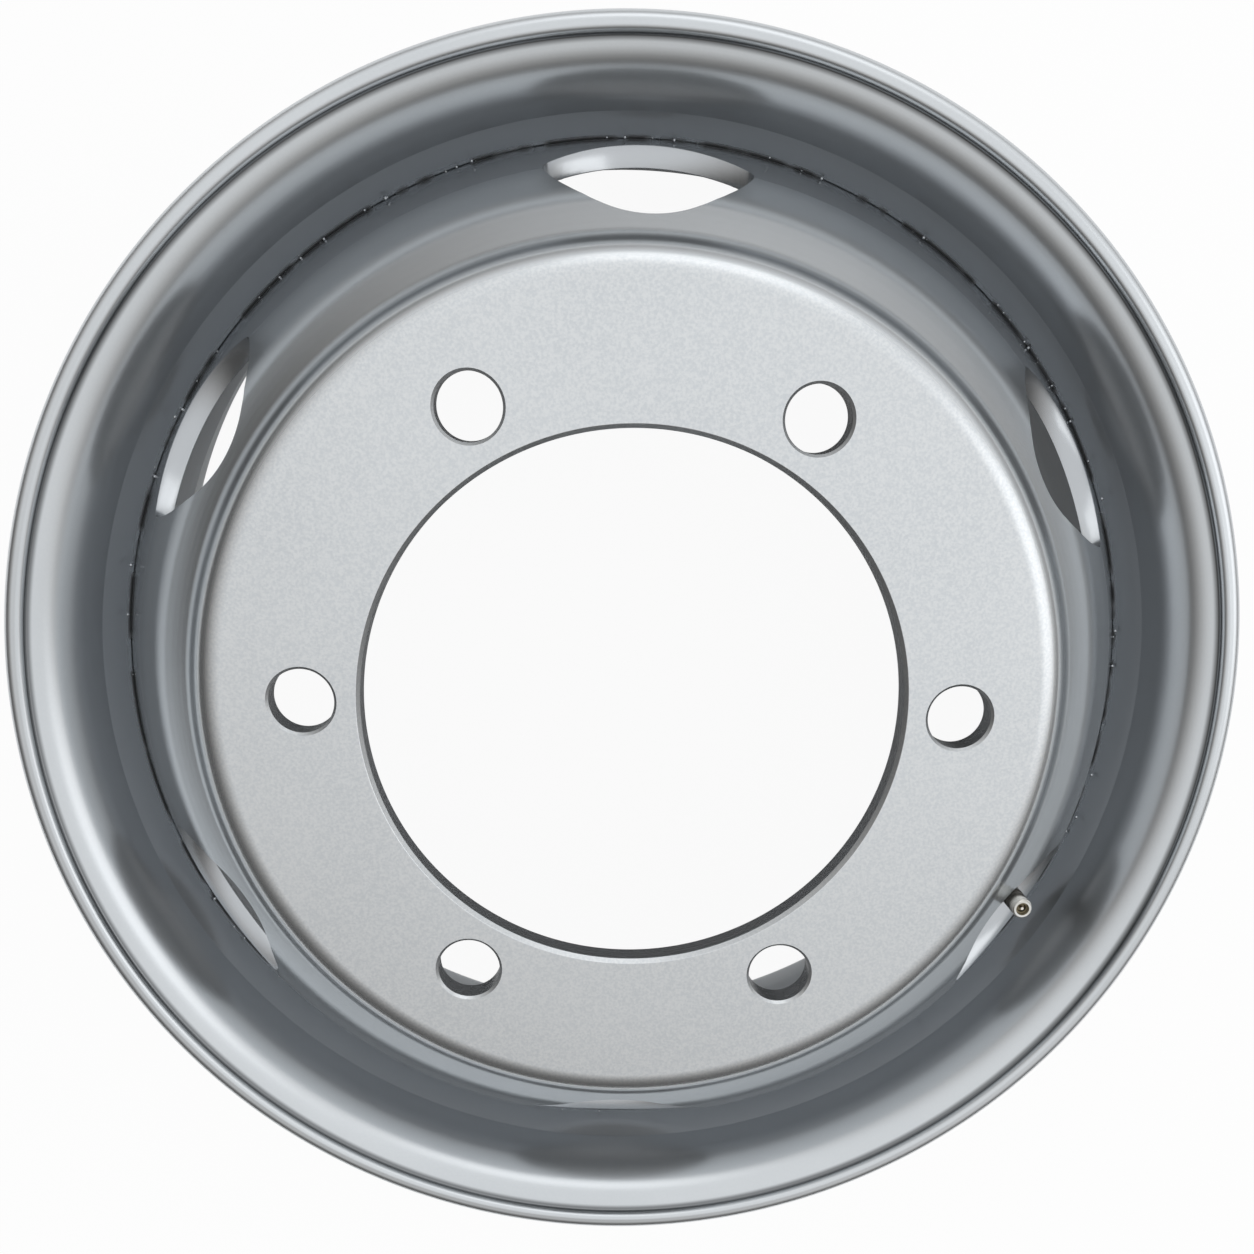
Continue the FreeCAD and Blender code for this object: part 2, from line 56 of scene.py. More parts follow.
# Sections of the turned pieces, as (radius, height, rounding) corners with the air on their left.
RIM_SECTION = (
    (234.95, 193.85, 3.8),
    (234.95, 182.65, 6.5),
    (222.25, 182.65, 5.0),
    (215.82, 158.65, 9.0),
    (207.0, 145.85, 9.0),
    (207.0, 77.85, 9.0),
    (213.41, 44.2, 9.0),
    (222.25, 11.2, 5.0),
    (234.95, 11.2, 6.5),
    (234.95, 0.0, 3.8),
    (227.75, 0.0, 2.4),
    (227.75, 3.65, 1.4),
    (219.5, 6.45, 16.0),
    (212.2, 16.85, 34.0),
    (207.25, 42.2, 9.0),
    (202.0, 75.85, 9.0),
    (202.0, 147.85, 1.2),
    (209.0, 160.65, 2.5),
    (212.2, 177.0, 34.0),
    (219.5, 187.4, 16.0),
    (227.75, 190.2, 1.4),
    (227.75, 193.85, 2.4),
)
DISC_SECTION = (
    (102.6, 208.85, 0.5),
    (159.5, 208.85, 13.0),
    (165.0, 198.85, 15.0),
    (179.9, 187.0, 40.0),
    (191.0, 172.85, 4.0),
    (201.95, 147.3, 0.8),
    (201.95, 112.85, 0.6),
    (195.45, 112.85, 0.6),
    (195.45, 141.85, 9.0),
    (186.7, 165.75, 9.0),
    (155.6, 196.85, 9.0),
    (102.6, 196.85, 0.5),
    (101.0, 198.45, 0.5),
    (101.0, 207.25, 0.5),
)
RIM_STEPS = 360
DISC_STEPS = 300
ARC_STEP = math.radians(9)
SHARP_ANGLE = math.radians(30)
ON_SECTION_GAP = 0.05
GLOSS_BLOCK = 8000

# Holes of the disc
HOLE_COUNT = 6
DISC_FACE = 208.85
DISC_BACK = 196.85
BOLT_CIRCLE_RADIUS = 122.5
BOLT_HOLE_RADIUS = 12.0
BOLT_CHAMFER = 1.0
BOLT_HOLE_STEPS = 64
WALL_SHADE_REACH = 140.0
WALL_TILT = 0.3
VENT_TOP = 193.2
VENT_BOTTOM = 154.5
VENT_TOP_ROUNDING = 45.0
VENT_BOTTOM_ROUNDING = 56.0
VENT_CORNER_ROUNDING = 5.0
VENT_OUTER_REACH = 212.0
VENT_INNER_REACH = 150.0
VENT_FIRST_TURN = math.radians(30)
VENT_EDGE_ROUNDING = 0.4
VENT_EDGE_MERGE = 0.12
VENT_CORNER_STEPS = 10
VENT_ARC_STEPS = 54

# Valve
VALVE_TURN = math.radians(333)
VALVE_RADIUS = 180.0
VALVE_HOLE_RADIUS = 4.9
VALVE_HOLE_HEIGHT = 92.85
VALVE_HOLE_REACH = (214, 196)
VALVE_HOLE_STEPS = 40
VALVE_TIP_HEIGHT = 195.85
THREAD_RADIUS = 3.82
THREAD_PITCH = 0.8
THREAD_LENGTH = 10.8
THREAD_RIDGE = 0.3
THREAD_END_GAP = 0.6

# Weld bead under the skirt, its lean in degrees, and the front joint between disc and rim
BEAD_ROOT_RADIUS = 201.95
BEAD_TOP = 112.85
BEAD_CENTRE = (200.6, 111.2)
BEAD_REACH = 4.1
BEAD_RIPPLE = 0.32
BEAD_RIPPLE_COUNT = 470
BEAD_STEPS = 2350
BEAD_SIDES = 9
BEAD_LEAN_START = 158
BEAD_LEAN_SWEEP = 122
BEAD_RIPPLE_LAG = 0.45
JOINT_RADIUS = 201.7
JOINT_HEIGHT = 148.0
SPECK_COUNT = 150
SPECK_SIZE = 0.8
SPECK_CLIMB = 6.0
SPECK_SEED = 7

# Where the paint changes and where painted shade lies (crack, groove, recess, stem), in metres: each mask
# goes from 0 at the first place to 1 at the second
FACE_RISE = (0.2066, 0.2084)
CRACK_INNER, CRACK_OUTER = (0.2012, 0.2016), (0.2027, 0.2023)
CRACK_FOOT, CRACK_TOP = (0.1450, 0.1456), (0.1491, 0.1485)
GROOVE_INNER, GROOVE_OUTER = (0.2252, 0.2270), (0.2284, 0.2278)
GROOVE_FOOT, GROOVE_TOP = (0.1885, 0.1893), (0.1926, 0.1908)
RECESS_INNER, RECESS_TOP, RECESS_FOOT = (0.186, 0.192), (0.191, 0.172), (0.095, 0.13)
RIM_START = (0.2005, 0.204)
STEM_SHADE = (0.1935, 0.1895)
PIN_WEAR = (0.1944, 0.1948)

# Stage, with the camera's turn in degrees
CAMERA_PLACE = (-22.9, 120.6, 704.0)
CAMERA_TURN = (-17.586, -2.299, 2.043)
CAMERA_LENS = 39.37
CAMERA_SHIFT = (-0.0086, 0.1393)
CAMERA_SENSOR = 36.0
SKY_LEAN = (0.25, 0.45, 0.86)
LAMP_AIM = (0, 0, 0.15)
FLOOR_REACH = 4.0
FLOOR_LEVEL = -0.0003
FLOOR_SHADOW_EDGE = (0.19, 0.25)
FLOOR_WHITE_SHARE = 0.94


class Wire:
    """A node's output that can be used in sums; each sum adds one Math node."""

    def __init__(self, board, socket):
        self.board = board
        self.socket = socket

    def __add__(self, other):
        return self.board.sum("ADD", self, other)

    def __sub__(self, other):
        return self.board.sum("SUBTRACT", self, other)

    def __rsub__(self, other):
        return self.board.sum("SUBTRACT", other, self)

    def __mul__(self, other):
        return self.board.sum("MULTIPLY", self, other)

    def __truediv__(self, other):
        return self.board.sum("DIVIDE", self, other)

    def __pow__(self, other):
        return self.board.sum("POWER", self, other)

    __radd__ = __add__
    __rmul__ = __mul__

    def other(self, name):
        """Another output of the same node."""
        return Wire(self.board, self.socket.node.outputs[name])


class Board:
    """A shader or geometry tree that is filled node by node."""

    def __init__(self, tree):
        self.tree = tree

    def node(self, kind, settings=None, inputs=None, output=0):
        made = self.tree.nodes.new(kind)
        for name, value in (settings or {}).items():
            setattr(made, name, value)
        for name, value in (inputs or {}).items():
            self.feed(made.inputs[name], value)
        return Wire(self, made.outputs[output]) if made.outputs else made

    def feed(self, socket, value):
        if isinstance(value, Wire):
            self.tree.links.new(value.socket, socket)
        else:
            socket.default_value = value

    def sum(self, operation, first, second):
        return self.node("ShaderNodeMath", {"operation": operation}, {0: first, 1: second})

    def step(self, value, low, high):
        """0 below low, 1 above high, smooth between; low above high turns it round."""
        inputs = {"Value": value, "From Min": low, "From Max": high}
        return self.node("ShaderNodeMapRange", {"interpolation_type": "SMOOTHSTEP"}, inputs)

    def noise(self, place, scale, detail=2.0):
        return self.node("ShaderNodeTexNoise", None, {"Vector": place, "Scale": scale, "Detail": detail})

    def mix(self, share, first, second):
        inputs = {"Factor": share, 6: first, 7: second}
        return self.node("ShaderNodeMix", {"data_type": "RGBA"}, inputs, output=2)


def new_paint(name):
    """A material and its board, still empty."""
    material = bpy.data.materials.new(name)
    material.use_nodes = True
    material.node_tree.nodes.clear()
    return material, Board(material.node_tree)


def finish_paint(board, **sockets):
    """Ends a material in a Principled shader with these inputs."""
    inputs = {name.replace("_", " "): value for name, value in sockets.items()}
    shader = board.node("ShaderNodeBsdfPrincipled", None, inputs)
    board.node("ShaderNodeOutputMaterial", None, {"Surface": shader})


def bump(board, height, distance):
    inputs = {"Height": height, "Distance": distance, "Strength": 1.0}
    return board.node("ShaderNodeBump", None, inputs)


def silver_paint():
    """Sprayed silver, glossy on the curves and grained on the flat face.

    It is a little duller on the rim, with painted shade on the walls of the holes, in the well, in the
    joint's crevice and in the lip's groove.
    """
    material, board = new_paint("silver_paint")
    place = board.node("ShaderNodeTexCoord", output="Object")
    parts = board.node("ShaderNodeSeparateXYZ", None, {0: place})
    x, y, height = (parts.other(axis) for axis in "XYZ")
    radius = (x * x + y * y) ** 0.5
    # Mask of the painted shade on the walls of the bore and the bolt holes
    wall_shade = board.node("ShaderNodeAttribute", {"attribute_name": "thin_paint"}, output="Fac")
    peel = board.noise(place, 330.0, 2.0)
    grain = board.noise(place, 950.0, 2.0)
    cloud = board.noise(place, 11.0, 3.0)
    section = board.node("ShaderNodeCombineXYZ", None, {"X": radius, "Y": height})
    streaks = board.noise(section, 620.0, 3.0)
    face = board.step(height, *FACE_RISE)
    crack = board.step(radius, *CRACK_INNER) * board.step(radius, *CRACK_OUTER)
    gaps = board.step(board.noise(place, 70.0, 1.0), 0.40, 0.52)
    # Painted shade, broken into dashes, along the crevice where the disc meets the rim
    crevice_shade = crack * gaps * board.step(height, *CRACK_FOOT) * board.step(height, *CRACK_TOP)
    # Painted shade in the groove at the foot of the lip's inner wall
    lip_groove = board.step(radius, *GROOVE_INNER) * board.step(radius, *GROOVE_OUTER)
    groove_shade = lip_groove * board.step(height, *GROOVE_FOOT) * board.step(height, *GROOVE_TOP)
    # Painted shade over the rim's well, below the disc's slope
    below_slope = board.step(radius, *RECESS_INNER) * board.step(height, *RECESS_TOP)
    well_shade = below_slope * board.step(height, *RECESS_FOOT)
    satin = board.step(radius, *RIM_START)
    silver = board.mix(board.step(cloud, 0.25, 0.75), (0.585, 0.611, 0.632, 1), (0.618, 0.644, 0.664, 1))
    speckle = board.step(grain, 0.3, 0.7) * (0.06 + face * 0.42)
    grained = board.mix(speckle, silver, (0.78, 0.79, 0.79, 1))
    shaded = board.mix(well_shade * 0.55, grained, (0.39, 0.405, 0.425, 1))
    # Painted shade, near black, on the walls of the bore and the bolt holes
    wall_shaded = board.mix(wall_shade * 0.85, shaded, (0.13, 0.134, 0.14, 1))
    # Painted shade, near black, in the joint's crevice and in the lip's groove
    crevice_shaded = board.mix(crevice_shade * 0.85 + groove_shade * 0.7, wall_shaded, (0.03, 0.031, 0.033, 1))
    sprayed = 0.19 + streaks * 0.06 + (cloud - 0.5) * 0.05
    finish_paint(
        board,
        Base_Color=crevice_shaded,
        Metallic=0.9 - crevice_shade * 0.7,
        Roughness=sprayed + satin * 0.08 + face * 0.10 + crevice_shade * 0.4 + wall_shade * 0.05,
        Normal=bump(board, peel * 0.3 + grain * face + streaks * (1 - face) * 0.9, 0.000016),
    )
    return material


def plated_brass():
    """Nickel plate with fine turning marks across the stem, plain at the tip, with painted shade below it.
    """
    material, board = new_paint("plated_brass")
    place = board.node("ShaderNodeTexCoord", output="Object")
    squeezed = board.node("ShaderNodeMapping", None, {"Vector": place, "Scale": (60, 60, 5200)})
    marks = board.noise(squeezed, 1.0)
    cloud = board.noise(place, 180.0)
    height = board.node("ShaderNodeSeparateXYZ", None, {0: place}).other("Z")
    plate = board.mix(board.step(cloud, 0.3, 0.75), (0.76, 0.76, 0.74, 1), (0.62, 0.61, 0.57, 1))
    # Painted shade on the stem below its tip
    colour = board.mix(board.step(height, *STEM_SHADE), plate, (0.12, 0.115, 0.105, 1))
    finish_paint(
        board,
        Base_Color=colour,
        Metallic=1.0,
        Roughness=0.20 + marks * 0.14,
        Normal=bump(board, marks, 0.00002),
    )
    return material


def bare_brass():
    """Turned brass of the valve core: tarnished, and rubbed bright where chucks press the pin."""
    material, board = new_paint("bare_brass")
    place = board.node("ShaderNodeTexCoord", output="Object")
    cloud = board.noise(place, 420.0, 3.0)
    height = board.node("ShaderNodeSeparateXYZ", None, {0: place}).other("Z")
    worn = board.step(height, *PIN_WEAR)
    tarnish = board.mix(board.step(cloud, 0.3, 0.7), (0.20, 0.17, 0.11, 1), (0.11, 0.09, 0.06, 1))
    colour = board.mix(worn, tarnish, (0.80, 0.77, 0.70, 1))
    finish_paint(board, Base_Color=colour, Metallic=1.0, Roughness=0.22 + cloud * 0.18)
    return material


def zinc_steel():
    """Zinc plate with its faint blue spangle."""
    material, board = new_paint("zinc_steel")
    place = board.node("ShaderNodeTexCoord", output="Object")
    spangle = board.node("ShaderNodeTexVoronoi", None, {"Vector": place, "Scale": 520.0})
    fine = board.noise(place, 1500.0)
    colour = board.mix(board.step(spangle, 0.1, 0.8), (0.62, 0.64, 0.67, 1), (0.50, 0.52, 0.54, 1))
    finish_paint(
        board,
        Base_Color=colour,
        Metallic=1.0,
        Roughness=0.26 + spangle * 0.14,
        Normal=bump(board, fine, 0.00002),
    )
    return material


def black_rubber():
    """Matt rubber with a fine moulded grain and a grey bloom."""
    material, board = new_paint("black_rubber")
    place = board.node("ShaderNodeTexCoord", output="Object")
    grain = board.noise(place, 1900.0, 3.0)
    bloom = board.noise(place, 260.0)
    colour = board.mix(board.step(bloom, 0.35, 0.8), (0.022, 0.022, 0.023, 1), (0.055, 0.055, 0.056, 1))
    finish_paint(
        board,
        Base_Color=colour,
        Roughness=0.62 + grain * 0.25,
        Normal=bump(board, grain, 0.00004),
    )
    return material


def left_of(direction):
    return np.array([-direction[1], direction[0]])


def swung(vector, angle):
    cosine, sine = math.cos(angle), math.sin(angle)
    return np.array([cosine * vector[0] - sine * vector[1], sine * vector[0] + cosine * vector[1]])


def section_line(corners):
    """The rounded outline through the corners, in metres.

    Gives its points, and the normals at both ends of the stretch that starts at each point.
    """
    places = np.array([corner[:2] for corner in corners]) * MM
    points, normals = [], []
    for number, (_, _, rounding) in enumerate(corners):
        here = places[number]
        way_in = here - places[number - 1]
        way_out = places[(number + 1) % len(corners)] - here
        way_in /= np.linalg.norm(way_in)
        way_out /= np.linalg.norm(way_out)
        turn = math.atan2(way_in[0] * way_out[1] - way_in[1] * way_out[0], way_in @ way_out)
        side = math.copysign(rounding * MM, turn)
        start = here - way_in * abs(side) * math.tan(abs(turn) / 2)
        steps = max(2, math.ceil(abs(turn) / ARC_STEP))
        fan = [swung(left_of(way_in), turn * step / steps) for step in range(steps + 1)]
        points += [start + side * (fan[0] - normal) for normal in fan]
        normals += list(zip(fan, fan[1:])) + [(fan[-1], fan[-1])]
    return np.array(points), np.array(normals)


def new_piece(name, mesh):
    piece = bpy.data.objects.new(name, mesh)
    bpy.context.scene.collection.objects.link(piece)
    return piece


def rings_mesh(name, rings, closed_line):
    """A skin over rings of points that run round the piece; a line that isn't closed gets flat ends."""
    rings = np.asarray(rings)
    count, size = rings.shape[:2]
    faces = []
    for one in range(count if closed_line else count - 1):
        two = (one + 1) % count
        for here in range(size):
            there = (here + 1) % size
            faces.append((one * size + here, two * size + here, two * size + there, one * size + there))
    if not closed_line:
        faces.append(tuple(range(size)))
        faces.append(tuple(range(count * size - 1, (count - 1) * size - 1, -1)))
    mesh = bpy.data.meshes.new(name)
    mesh.from_pydata(rings.reshape(-1, 3).tolist(), [], faces)
    mesh.shade_smooth()
    return mesh


def turned_mesh(name, points, steps):
    """A section line turned round the axle line."""
    angles = np.arange(steps) * FULL_TURN / steps
    radius, height = points[:, :1], points[:, 1:]
    flat = np.broadcast_to(height, (len(points), steps))
    rings = np.stack([radius * np.cos(angles), radius * np.sin(angles), flat], axis=2)
    return rings_mesh(name, rings, closed_line=True)


def read_all(items, name, width, kind=np.float32):
    """One property of all points, corners or faces of a mesh, as an array."""
    values = np.empty(len(items) * width, kind)
    items.foreach_get(name, values)
    return values.reshape(-1, width) if width > 1 else values


def true_gloss(mesh, line):
    """Gives faces on the turned section their exact normals, so that no hole dents the gloss around it."""
    points, end_normals = line
    starts, spans = points, np.roll(points, -1, axis=0) - points
    lengths = (spans ** 2).sum(1)
    mesh.set_sharp_from_angle(angle=SHARP_ANGLE)
    normals = read_all(mesh.corner_normals, "vector", 3)
    places = read_all(mesh.vertices, "co", 3)
    corner_points = read_all(mesh.loops, "vertex_index", 1, np.int32)
    centres = read_all(mesh.polygons, "center", 3)
    sizes = read_all(mesh.polygons, "loop_total", 1, np.int32)
    flat = np.stack([np.hypot(centres[:, 0], centres[:, 1]), centres[:, 2]], 1)
    stretch = np.empty(len(flat), np.int32)
    gap = np.empty(len(flat))
    for block in np.array_split(np.arange(len(flat)), max(1, len(flat) // GLOSS_BLOCK)):
        away = flat[block, None] - starts
        share = np.clip((away * spans).sum(2) / lengths, 0, 1)
        far = np.linalg.norm(away - share[:, :, None] * spans, axis=2)
        stretch[block] = far.argmin(1)
        gap[block] = far.min(1)
    on_section = np.repeat(gap < ON_SECTION_GAP * MM, sizes)
    corner_stretch = np.repeat(stretch, sizes)[on_section]
    spot = places[corner_points[on_section]]
    spot_flat = np.stack([np.hypot(spot[:, 0], spot[:, 1]), spot[:, 2]], 1)
    share = ((spot_flat - starts[corner_stretch]) * spans[corner_stretch]).sum(1) / lengths[corner_stretch]
    share = np.clip(share, 0, 1)[:, None]
    blend = end_normals[corner_stretch, 0] * (1 - share) + end_normals[corner_stretch, 1] * share
    outward = spot[:, :2] / spot_flat[:, :1]
    normals[on_section] = np.concatenate([outward * blend[:, :1], blend[:, 1:]], 1)
    mesh.normals_split_custom_set(normals / np.linalg.norm(normals, axis=1, keepdims=True))


def ellipse_ring(centre, along, across, half_length, half_width, steps):
    angles = np.arange(steps) * FULL_TURN / steps
    centre, along, across = (np.array(item, float) for item in (centre, along, across))
    ring = centre + np.outer(np.cos(angles) * half_length, along)
    return (ring + np.outer(np.sin(angles) * half_width, across)) * MM


def bolt_punch():
    """The cutter of one bolt hole, flared at both faces for the chamfers."""
    flare = BOLT_HOLE_RADIUS + 2 * BOLT_CHAMFER
    levels = (
        (DISC_FACE + BOLT_CHAMFER, flare),
        (DISC_FACE - BOLT_CHAMFER, BOLT_HOLE_RADIUS),
        (DISC_BACK + BOLT_CHAMFER, BOLT_HOLE_RADIUS),
        (DISC_BACK - BOLT_CHAMFER, flare),
    )
    rings = [
        ellipse_ring((BOLT_CIRCLE_RADIUS, 0, level), (1, 0, 0), (0, 1, 0), radius, radius, BOLT_HOLE_STEPS)
        for level, radius in levels
    ]
    return new_piece("bolt_punch", rings_mesh("bolt_punch", rings, closed_line=False))


def vent_outline():
    """The eye of one vent, seen along the punch: two wide arcs joined by small corners."""
    corner = VENT_CORNER_ROUNDING
    top, bottom = VENT_TOP_ROUNDING - corner, VENT_BOTTOM_ROUNDING - corner
    top_centre, bottom_centre = VENT_TOP - VENT_TOP_ROUNDING, VENT_BOTTOM + VENT_BOTTOM_ROUNDING
    spread = top ** 2 - bottom ** 2 + bottom_centre ** 2 - top_centre ** 2
    level = spread / (2 * (bottom_centre - top_centre))
    side = math.sqrt(top ** 2 - (level - top_centre) ** 2)
    rise = math.atan2(level - top_centre, side)
    fall = math.atan2(level - bottom_centre, side)
    arcs = (
        ((side, level), corner, fall, rise, VENT_CORNER_STEPS),
        ((0, top_centre), VENT_TOP_ROUNDING, rise, math.pi - rise, VENT_ARC_STEPS),
        ((-side, level), corner, math.pi - rise, math.pi - fall, VENT_CORNER_STEPS),
        ((0, bottom_centre), VENT_BOTTOM_ROUNDING, math.pi - fall, FULL_TURN + fall, VENT_ARC_STEPS),
    )
    outline = []
    for centre, radius, first, last, steps in arcs:
        turns = first + (last - first) * np.arange(steps) / steps
        outline.append(centre + radius * np.stack([np.cos(turns), np.sin(turns)], 1))
    return np.concatenate(outline)


def vent_punch():
    """The cutter of one vent, driven straight towards the axle line."""
    outline = vent_outline()
    rings = [np.insert(outline, 0, reach, axis=1) * MM for reach in (VENT_OUTER_REACH, VENT_INNER_REACH)]
    return new_piece("vent_punch", rings_mesh("vent_punch", rings, closed_line=False))


def valve_hole_punch():
    """The cutter of the valve's hole in the rim well."""
    radius = VALVE_HOLE_RADIUS
    rings = [
        ellipse_ring((reach, 0, VALVE_HOLE_HEIGHT), (0, 1, 0), (0, 0, 1), radius, radius, VALVE_HOLE_STEPS)
        for reach in VALVE_HOLE_REACH
    ]
    return new_piece("valve_hole_punch", rings_mesh("valve_hole_punch", rings, closed_line=False))


def new_tree(name, inputs):
    """A Geometry Nodes tree with these named inputs: its board and its input node."""
    tree = bpy.data.node_groups.new(name, "GeometryNodeTree")
    tree.interface.new_socket("Geometry", in_out="OUTPUT", socket_type="NodeSocketGeometry")
    tree.interface.new_socket("Geometry", in_out="INPUT", socket_type="NodeSocketGeometry")
    for socket_name, kind in inputs.items():
        tree.interface.new_socket(socket_name, in_out="INPUT", socket_type=kind)
    board = Board(tree)
    return board, board.node("NodeGroupInput")


def end_tree(board, geometry, finish):
    """Every tree ends in plain geometry with its finish on."""
    real = board.node("GeometryNodeRealizeInstances", None, {0: geometry})
    dressed = board.node("GeometryNodeSetMaterial", None, {"Geometry": real, "Material": finish})
    board.node("NodeGroupOutput", None, {0: dressed})
    return board.tree


def apply_tree(piece, tree, **values):
    """Runs a tree on a piece with these inputs and leaves the result as its plain mesh."""
    modifier = piece.modifiers.new(tree.name, "NODES")
    modifier.node_group = tree
    named = {item.name.replace(" ", "_").lower(): item.identifier for item in tree.interface.items_tree
             if item.in_out == "INPUT"}
    for name, value in values.items():
        modifier[named[name]] = value
    bpy.context.view_layer.update()
    seen = piece.evaluated_get(bpy.context.evaluated_depsgraph_get())
    mesh = bpy.data.meshes.new_from_object(seen)
    piece.modifiers.remove(modifier)
    piece.data = mesh
    return piece


def punching_tree():
    """Cuts copies of a punch, spread evenly round the axle line, out of a piece."""
    board, start = new_tree("punching", {
        "Punch": "NodeSocketObject", "Count": "NodeSocketInt", "First turn": "NodeSocketFloat",
        "Finish": "NodeSocketMaterial",
    })
    punch = board.node("GeometryNodeObjectInfo", None, {"Object": start.other("Punch")}, output="Geometry")
    spots = board.node("GeometryNodeMeshLine", None, {"Count": start.other("Count"), "Offset": (0, 0, 0)})
    number = board.node("GeometryNodeInputIndex")
    turn = number / start.other("Count") * FULL_TURN + start.other("First turn")
    angle = board.node("ShaderNodeCombineXYZ", None, {"Z": turn})
    punches = board.node("GeometryNodeInstanceOnPoints", None, {
        "Points": spots, "Instance": punch, "Rotation": angle,
    })
    solid_punches = board.node("GeometryNodeRealizeInstances", None, {0: punches})
    settings = {"operation": "DIFFERENCE", "solver": "EXACT"}
    cut = board.node("GeometryNodeMeshBoolean", settings, {"Mesh 1": start, "Mesh 2": solid_punches})
    marking = {"data_type": "BOOLEAN", "domain": "EDGE"}
    marked = board.node("GeometryNodeStoreNamedAttribute", marking, {
        "Geometry": cut, "Name": "punched", "Value": cut.other("Intersecting Edges"),
    })
    return end_tree(board, marked, start.other("Finish"))


def ease_vent_edges(mesh):
    """Rounds the edges that the vent punches left, as the press and the paint do."""
    work = bmesh.new()
    work.from_mesh(mesh)
    mark = work.edges.layers.bool.get("punched")
    edges = [edge for edge in work.edges if edge[mark]]
    ends = list({vert for edge in edges for vert in edge.verts})
    bmesh.ops.remove_doubles(work, verts=ends, dist=VENT_EDGE_MERGE * MM)
    edges = [edge for edge in work.edges if edge[mark]]
    bmesh.ops.bevel(
        work, geom=edges, offset=VENT_EDGE_ROUNDING * MM, segments=2, profile=0.5, affect="EDGES",
        clamp_overlap=False,
    )
    work.to_mesh(mesh)
    work.free()


def make_rim(finish, punching):
    line = section_line(RIM_SECTION)
    rim = new_piece("rim_shell", turned_mesh("rim_shell", line[0], RIM_STEPS))
    punch = valve_hole_punch()
    apply_tree(rim, punching, punch=punch, count=1, first_turn=VALVE_TURN, finish=finish)
    bpy.data.objects.remove(punch)
    true_gloss(rim.data, line)
    return rim


def make_disc(finish, punching):
    line = section_line(DISC_SECTION)
    disc = new_piece("disc_shell", turned_mesh("disc_shell", line[0], DISC_STEPS))
    vents, bolts = vent_punch(), bolt_punch()
    apply_tree(disc, punching, punch=vents, count=HOLE_COUNT, first_turn=VENT_FIRST_TURN, finish=finish)
    ease_vent_edges(disc.data)
    apply_tree(disc, punching, punch=bolts, count=HOLE_COUNT, first_turn=0.0, finish=finish)
    bpy.data.objects.remove(vents)
    bpy.data.objects.remove(bolts)
    true_gloss(disc.data, line)
    mark_hole_wall_shade(disc.data)
    return disc


def mark_hole_wall_shade(mesh):
    """Marks the walls of the bore and the bolt holes, which get painted shade."""
    walls = [
        float(
            abs(face.normal.z) < WALL_TILT
            and math.hypot(face.center.x, face.center.y) < WALL_SHADE_REACH * MM
        )
        for face in mesh.polygons
    ]
    mesh.attributes.new("thin_paint", "FLOAT", "FACE").data.foreach_set("value", walls)


def make_weld(finish):
    """The rippled bead that joins the skirt's foot to the rim."""
    angles = np.arange(BEAD_STEPS) * FULL_TURN / BEAD_STEPS
    centre_radius, centre_height = BEAD_CENTRE
    rings = []
    for side in range(BEAD_SIDES + 1):
        share = side / BEAD_SIDES
        lean = math.radians(BEAD_LEAN_START + BEAD_LEAN_SWEEP * share)
        crescent = 1 - (2 * share - 1) ** 2
        phase = (angles * BEAD_RIPPLE_COUNT / FULL_TURN - BEAD_RIPPLE_LAG * crescent) % 1.0
        reach = BEAD_REACH - BEAD_RIPPLE * phase ** 2 * (0.3 + 0.7 * crescent)
        radius = np.minimum(centre_radius + reach * math.cos(lean), BEAD_ROOT_RADIUS)
        height = np.minimum(centre_height + reach * math.sin(lean), BEAD_TOP)
        rings.append(np.stack([radius * np.cos(angles), radius * np.sin(angles), height], 1) * MM)
    root = np.stack([np.cos(angles), np.sin(angles), angles * 0], 1) * BEAD_ROOT_RADIUS
    rings.append((root + (0, 0, BEAD_TOP)) * MM)
    bead = new_piece("weld_bead", rings_mesh("weld_bead", rings[::-1], closed_line=True))
    bead.data.materials.append(finish)
    return bead


def thread_tree():
    """A ridge that climbs round the valve's tip."""
    board, start = new_tree("valve_thread", {
        "Radius": "NodeSocketFloat", "Pitch": "NodeSocketFloat", "Length": "NodeSocketFloat",
        "Ridge": "NodeSocketFloat", "Place": "NodeSocketVector", "Finish": "NodeSocketMaterial",
    })
    helix = board.node("GeometryNodeCurveSpiral", None, {
        "Resolution": 40, "Rotations": start.other("Length") / start.other("Pitch"),
        "Start Radius": start.other("Radius"), "End Radius": start.other("Radius"),
        "Height": start.other("Length"),
    })
    ridge = board.node("GeometryNodeCurvePrimitiveCircle", None, {
        "Resolution": 4, "Radius": start.other("Ridge"),
    })
    swept = board.node("GeometryNodeCurveToMesh", None, {
        "Curve": helix, "Profile Curve": ridge, "Fill Caps": True,
    })
    placed = board.node("GeometryNodeTransform", None, {
        "Geometry": swept, "Translation": start.other("Place"),
    })
    return end_tree(board, placed, start.other("Finish"))


def make_thread(finish):
    thread = new_piece("valve_thread", bpy.data.meshes.new("valve_thread"))
    place = Vector((math.cos(VALVE_TURN) * VALVE_RADIUS, math.sin(VALVE_TURN) * VALVE_RADIUS,
                    VALVE_TIP_HEIGHT - THREAD_LENGTH - THREAD_END_GAP)) * MM
    return apply_tree(
        thread, thread_tree(), radius=THREAD_RADIUS * MM, pitch=THREAD_PITCH * MM,
        length=THREAD_LENGTH * MM, ridge=THREAD_RIDGE * MM, place=place, finish=finish,
    )


